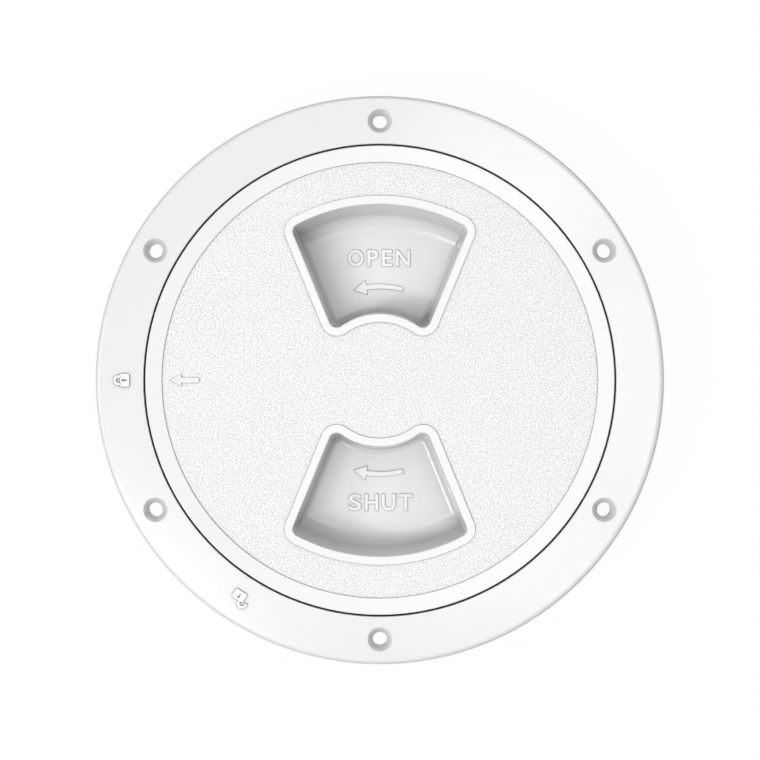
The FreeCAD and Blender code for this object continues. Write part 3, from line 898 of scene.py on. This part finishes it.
def make_ground(stage):
    """A wide white ground at the plate's foot, which keeps the plate's shadow."""
    reach = GROUND_REACH
    corners = [(-reach, -reach), (reach, -reach), (reach, reach), (-reach, reach)]
    mesh = bpy.data.meshes.new("ground")
    mesh.from_pydata([(x, y, PLATE_FOOT) for x, y in corners], [], [(0, 1, 2, 3)])
    ground = bpy.data.objects.new("ground", mesh)
    bpy.context.scene.collection.objects.link(ground)
    material = bpy.data.materials.new("white_ground")
    tree = emptied_tree(material)
    seen = seen_share(tree)
    whiteness = remapped(tree, seen, 0.0, 1.0, stage.ground_bounce, stage.ground_white)
    paint = add_node(tree, "ShaderNodeBsdfDiffuse", links={"Color": whiteness})
    glow = add_node(tree, "ShaderNodeEmission", {"Color": (1, 1, 1, 1), "Strength": 1.0})
    glow_share = arithmetic(tree, "MULTIPLY", seen, stage.ground_glow)
    sources = {0: glow_share, 1: paint.outputs["BSDF"], 2: glow.outputs["Emission"]}
    mixed = add_node(tree, "ShaderNodeMixShader", links=sources)
    add_node(tree, "ShaderNodeOutputMaterial", links={"Surface": mixed.outputs["Shader"]})
    mesh.materials.append(material)


def make_world(stage):
    """Even light from all round, on a white backdrop."""
    world = bpy.data.worlds.new("studio")
    bpy.context.scene.world = world
    tree = emptied_tree(world)
    white = (1, 1, 1, 1)
    light = add_node(tree, "ShaderNodeBackground", {"Color": white, "Strength": stage.sky})
    backdrop = add_node(tree, "ShaderNodeBackground", {"Color": white, "Strength": 1.0})
    sources = {
        0: add_node(tree, "ShaderNodeLightPath").outputs["Is Camera Ray"],
        1: light.outputs["Background"],
        2: backdrop.outputs["Background"],
    }
    mixed = add_node(tree, "ShaderNodeMixShader", links=sources)
    add_node(tree, "ShaderNodeOutputWorld", links={"Surface": mixed.outputs["Shader"]})


def make_camera(stage):
    """A camera that looks straight down on the plate, with +Y up in the picture."""
    camera = bpy.data.cameras.new("camera")
    camera.lens = stage.camera_focus
    camera.clip_start = CAMERA_NEAR
    camera.clip_end = CAMERA_FAR
    holder = bpy.data.objects.new("camera", camera)
    holder.location = (stage.camera_across, stage.camera_up, stage.camera_height)
    bpy.context.scene.collection.objects.link(holder)
    bpy.context.scene.camera = holder


class DECKPLATE_OT_set_stage(bpy.types.Operator):
    """Set the ground, the backdrop, the lamps and the camera"""

    bl_idname = "deckplate.set_stage"
    bl_label = "Set the stage"

    def execute(self, context):
        stage = context.scene.plate_stage
        make_camera(stage)
        make_ground(stage)
        make_world(stage)
        for name, azimuth, elevation, distance, width, watts in LAMPS:
            turn, tilt = math.radians(azimuth), math.radians(elevation)
            add_lamp(name, turn, tilt, distance, width, watts)
        context.scene.view_settings.view_transform = "Standard"
        return {"FINISHED"}


OPERATORS = [
    DECKPLATE_OT_finish_frame_ring,
    DECKPLATE_OT_finish_seal_ring,
    DECKPLATE_OT_finish_lid,
    DECKPLATE_OT_add_words,
    DECKPLATE_OT_add_arrows,
    DECKPLATE_OT_add_padlocks,
    DECKPLATE_OT_set_stage,
]

SETTINGS = {
    "plate_marks": PlateMarks,
    "plate_finishes": PlateFinishes,
    "plate_stage": PlateStage,
}


class DECKPLATE_PT_sidebar(bpy.types.Panel):
    """The plate's steps and their settings"""

    bl_idname = "DECKPLATE_PT_sidebar"
    bl_label = "Deck plate"
    bl_space_type = "VIEW_3D"
    bl_region_type = "UI"
    bl_category = "Deck plate"

    def draw(self, context):
        layout = self.layout
        for operator in OPERATORS:
            layout.operator(operator.bl_idname)
        for name, group in SETTINGS.items():
            box = layout.box()
            box.label(text=group.__doc__)
            settings = getattr(context.scene, name)
            for field in group.__annotations__:
                box.prop(settings, field)


def register():
    """Adds the settings, the steps and the panel."""
    for group in SETTINGS.values():
        bpy.utils.register_class(group)
    for name, group in SETTINGS.items():
        setattr(bpy.types.Scene, name, PointerProperty(type=group))
    for operator in OPERATORS:
        bpy.utils.register_class(operator)
    bpy.utils.register_class(DECKPLATE_PT_sidebar)


def unregister():
    """Takes the panel, the steps and the settings away again."""
    bpy.utils.unregister_class(DECKPLATE_PT_sidebar)
    for operator in reversed(OPERATORS):
        bpy.utils.unregister_class(operator)
    for name in SETTINGS:
        delattr(bpy.types.Scene, name)
    for group in SETTINGS.values():
        bpy.utils.unregister_class(group)


def main():
    """Builds the whole picture."""
    register()
    bpy.ops.deckplate.finish_frame_ring()
    bpy.ops.deckplate.finish_seal_ring()
    bpy.ops.deckplate.finish_lid()
    bpy.ops.deckplate.add_words()
    bpy.ops.deckplate.add_arrows()
    bpy.ops.deckplate.add_padlocks()
    bpy.ops.deckplate.set_stage()


if __name__ == "__main__":
    main()
